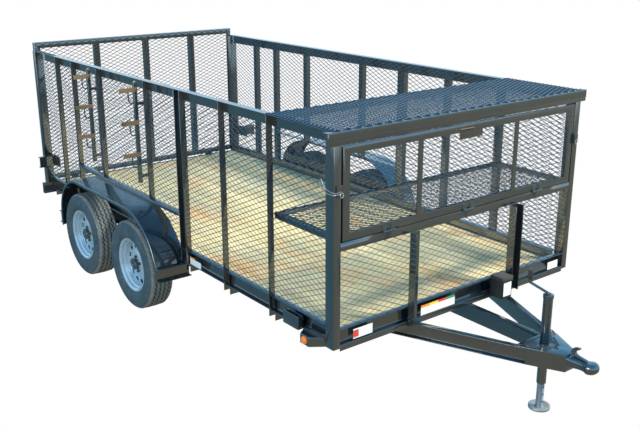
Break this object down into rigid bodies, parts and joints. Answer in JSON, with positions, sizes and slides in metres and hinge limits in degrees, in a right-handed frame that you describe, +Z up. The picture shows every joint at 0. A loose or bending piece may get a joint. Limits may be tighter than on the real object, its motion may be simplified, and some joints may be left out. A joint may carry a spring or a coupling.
{
  "type": "tandem axle landscape utility trailer",
  "caption": "Landscape trailer with plank floor, tall mesh walls, covered front bay with drop-down door, rear ramp gate and A-frame tongue on its jack.",
  "frame": {"origin": "on the ground under the middle of the trailer's whole length and width", "axes": "+X forward to the coupler, +Y to the trailer's left side, +Z up"},
  "size_m": [5.4804, 2.574, 1.8],
  "materials": {
    "black_paint": "gloss",
    "black_mesh": "satin",
    "treated_pine": "rough sawn",
    "spring_steel": "satin",
    "tyre_rubber": "matte",
    "silver_paint": "satin",
    "zinc": "satin",
    "amber_lens": "gloss",
    "red_lens": "gloss",
    "bronze_plate": "satin",
    "black_plastic": "matte"
  },
  "bodies": {
    "chassis": {"side_rails": "black_paint", "front_channel": "black_paint", "rear_sill": "black_paint", "crossmembers": "black_paint", "front_posts": "black_paint", "rear_posts": "black_paint", "uprights": "black_paint", "top_rails": "black_paint", "wheel_well_rails": "black_paint", "fenders": "black_paint", "fender_brackets": "black_paint", "header": "black_paint", "mid_rail": "black_paint", "roof_bar": "black_paint", "shelf_frame": "black_paint", "front_stakes": "black_paint", "gate_lugs": "black_paint", "tail_light_brackets": "black_paint", "marker_housings": "black_paint", "stake_pockets": "black_paint", "tool_racks": "black_paint", "tongue_rails": "black_paint", "tongue_nose": "black_paint", "tongue_spine": "black_paint", "coupler": "black_paint", "coupler_latch": "black_paint", "jack_tube": "black_paint", "jack_crank": "black_paint", "axles": "black_paint", "side_mesh_right": "black_mesh", "side_mesh_left": "black_mesh", "roof_mesh": "black_mesh", "shelf_mesh": "black_mesh", "front_mesh": "black_mesh", "floor_planks": "treated_pine", "leaf_springs": "spring_steel", "spring_hangers": "spring_steel", "marker_lights": "amber_lens", "tail_lights": "red_lens", "rack_hooks": "bronze_plate", "battery_box": "black_plastic"},
    "ramp_gate": {"gate_frame": "black_paint", "gate_mesh": "black_mesh"},
    "front_door": {"door_frame": "black_paint", "door_mesh": "black_mesh"},
    "jack_foot": {"jack_leg": "zinc"},
    "wheel_front_left": {"tyre_front_left": "tyre_rubber", "rim_front_left": "silver_paint"},
    "wheel_front_right": {"tyre_front_right": "tyre_rubber", "rim_front_right": "silver_paint"},
    "wheel_rear_left": {"tyre_rear_left": "tyre_rubber", "rim_rear_left": "silver_paint"},
    "wheel_rear_right": {"tyre_rear_right": "tyre_rubber", "rim_rear_right": "silver_paint"}
  },
  "joints": [
    {"name": "wheel_front_left_spin", "type": "hinge", "parent": "chassis", "child": "wheel_front_left", "pos_m": [-0.5188, 1.173, 0.345], "axis": [0, 1, 0], "continuous": true},
    {"name": "wheel_front_right_spin", "type": "hinge", "parent": "chassis", "child": "wheel_front_right", "pos_m": [-0.5188, -1.173, 0.345], "axis": [0, 1, 0], "continuous": true},
    {"name": "wheel_rear_left_spin", "type": "hinge", "parent": "chassis", "child": "wheel_rear_left", "pos_m": [-1.4088, 1.173, 0.345], "axis": [0, 1, 0], "continuous": true},
    {"name": "wheel_rear_right_spin", "type": "hinge", "parent": "chassis", "child": "wheel_rear_right", "pos_m": [-1.4088, -1.173, 0.345], "axis": [0, 1, 0], "continuous": true},
    {"name": "ramp_gate_hinge", "type": "hinge", "parent": "chassis", "child": "ramp_gate", "pos_m": [-2.7312, 0, 0.521], "axis": [0, -1, 0], "range_deg": [0, 113]},
    {"name": "front_door_hinge", "type": "hinge", "parent": "chassis", "child": "front_door", "pos_m": [1.7142, 0, 1.1005], "axis": [0, 1, 0], "range_deg": [0, 90]},
    {"name": "jack_leg_slide", "type": "slide", "parent": "chassis", "child": "jack_foot", "axis": [0, 0, 1], "range_m": [-0.1, 0.125]}
  ]
}
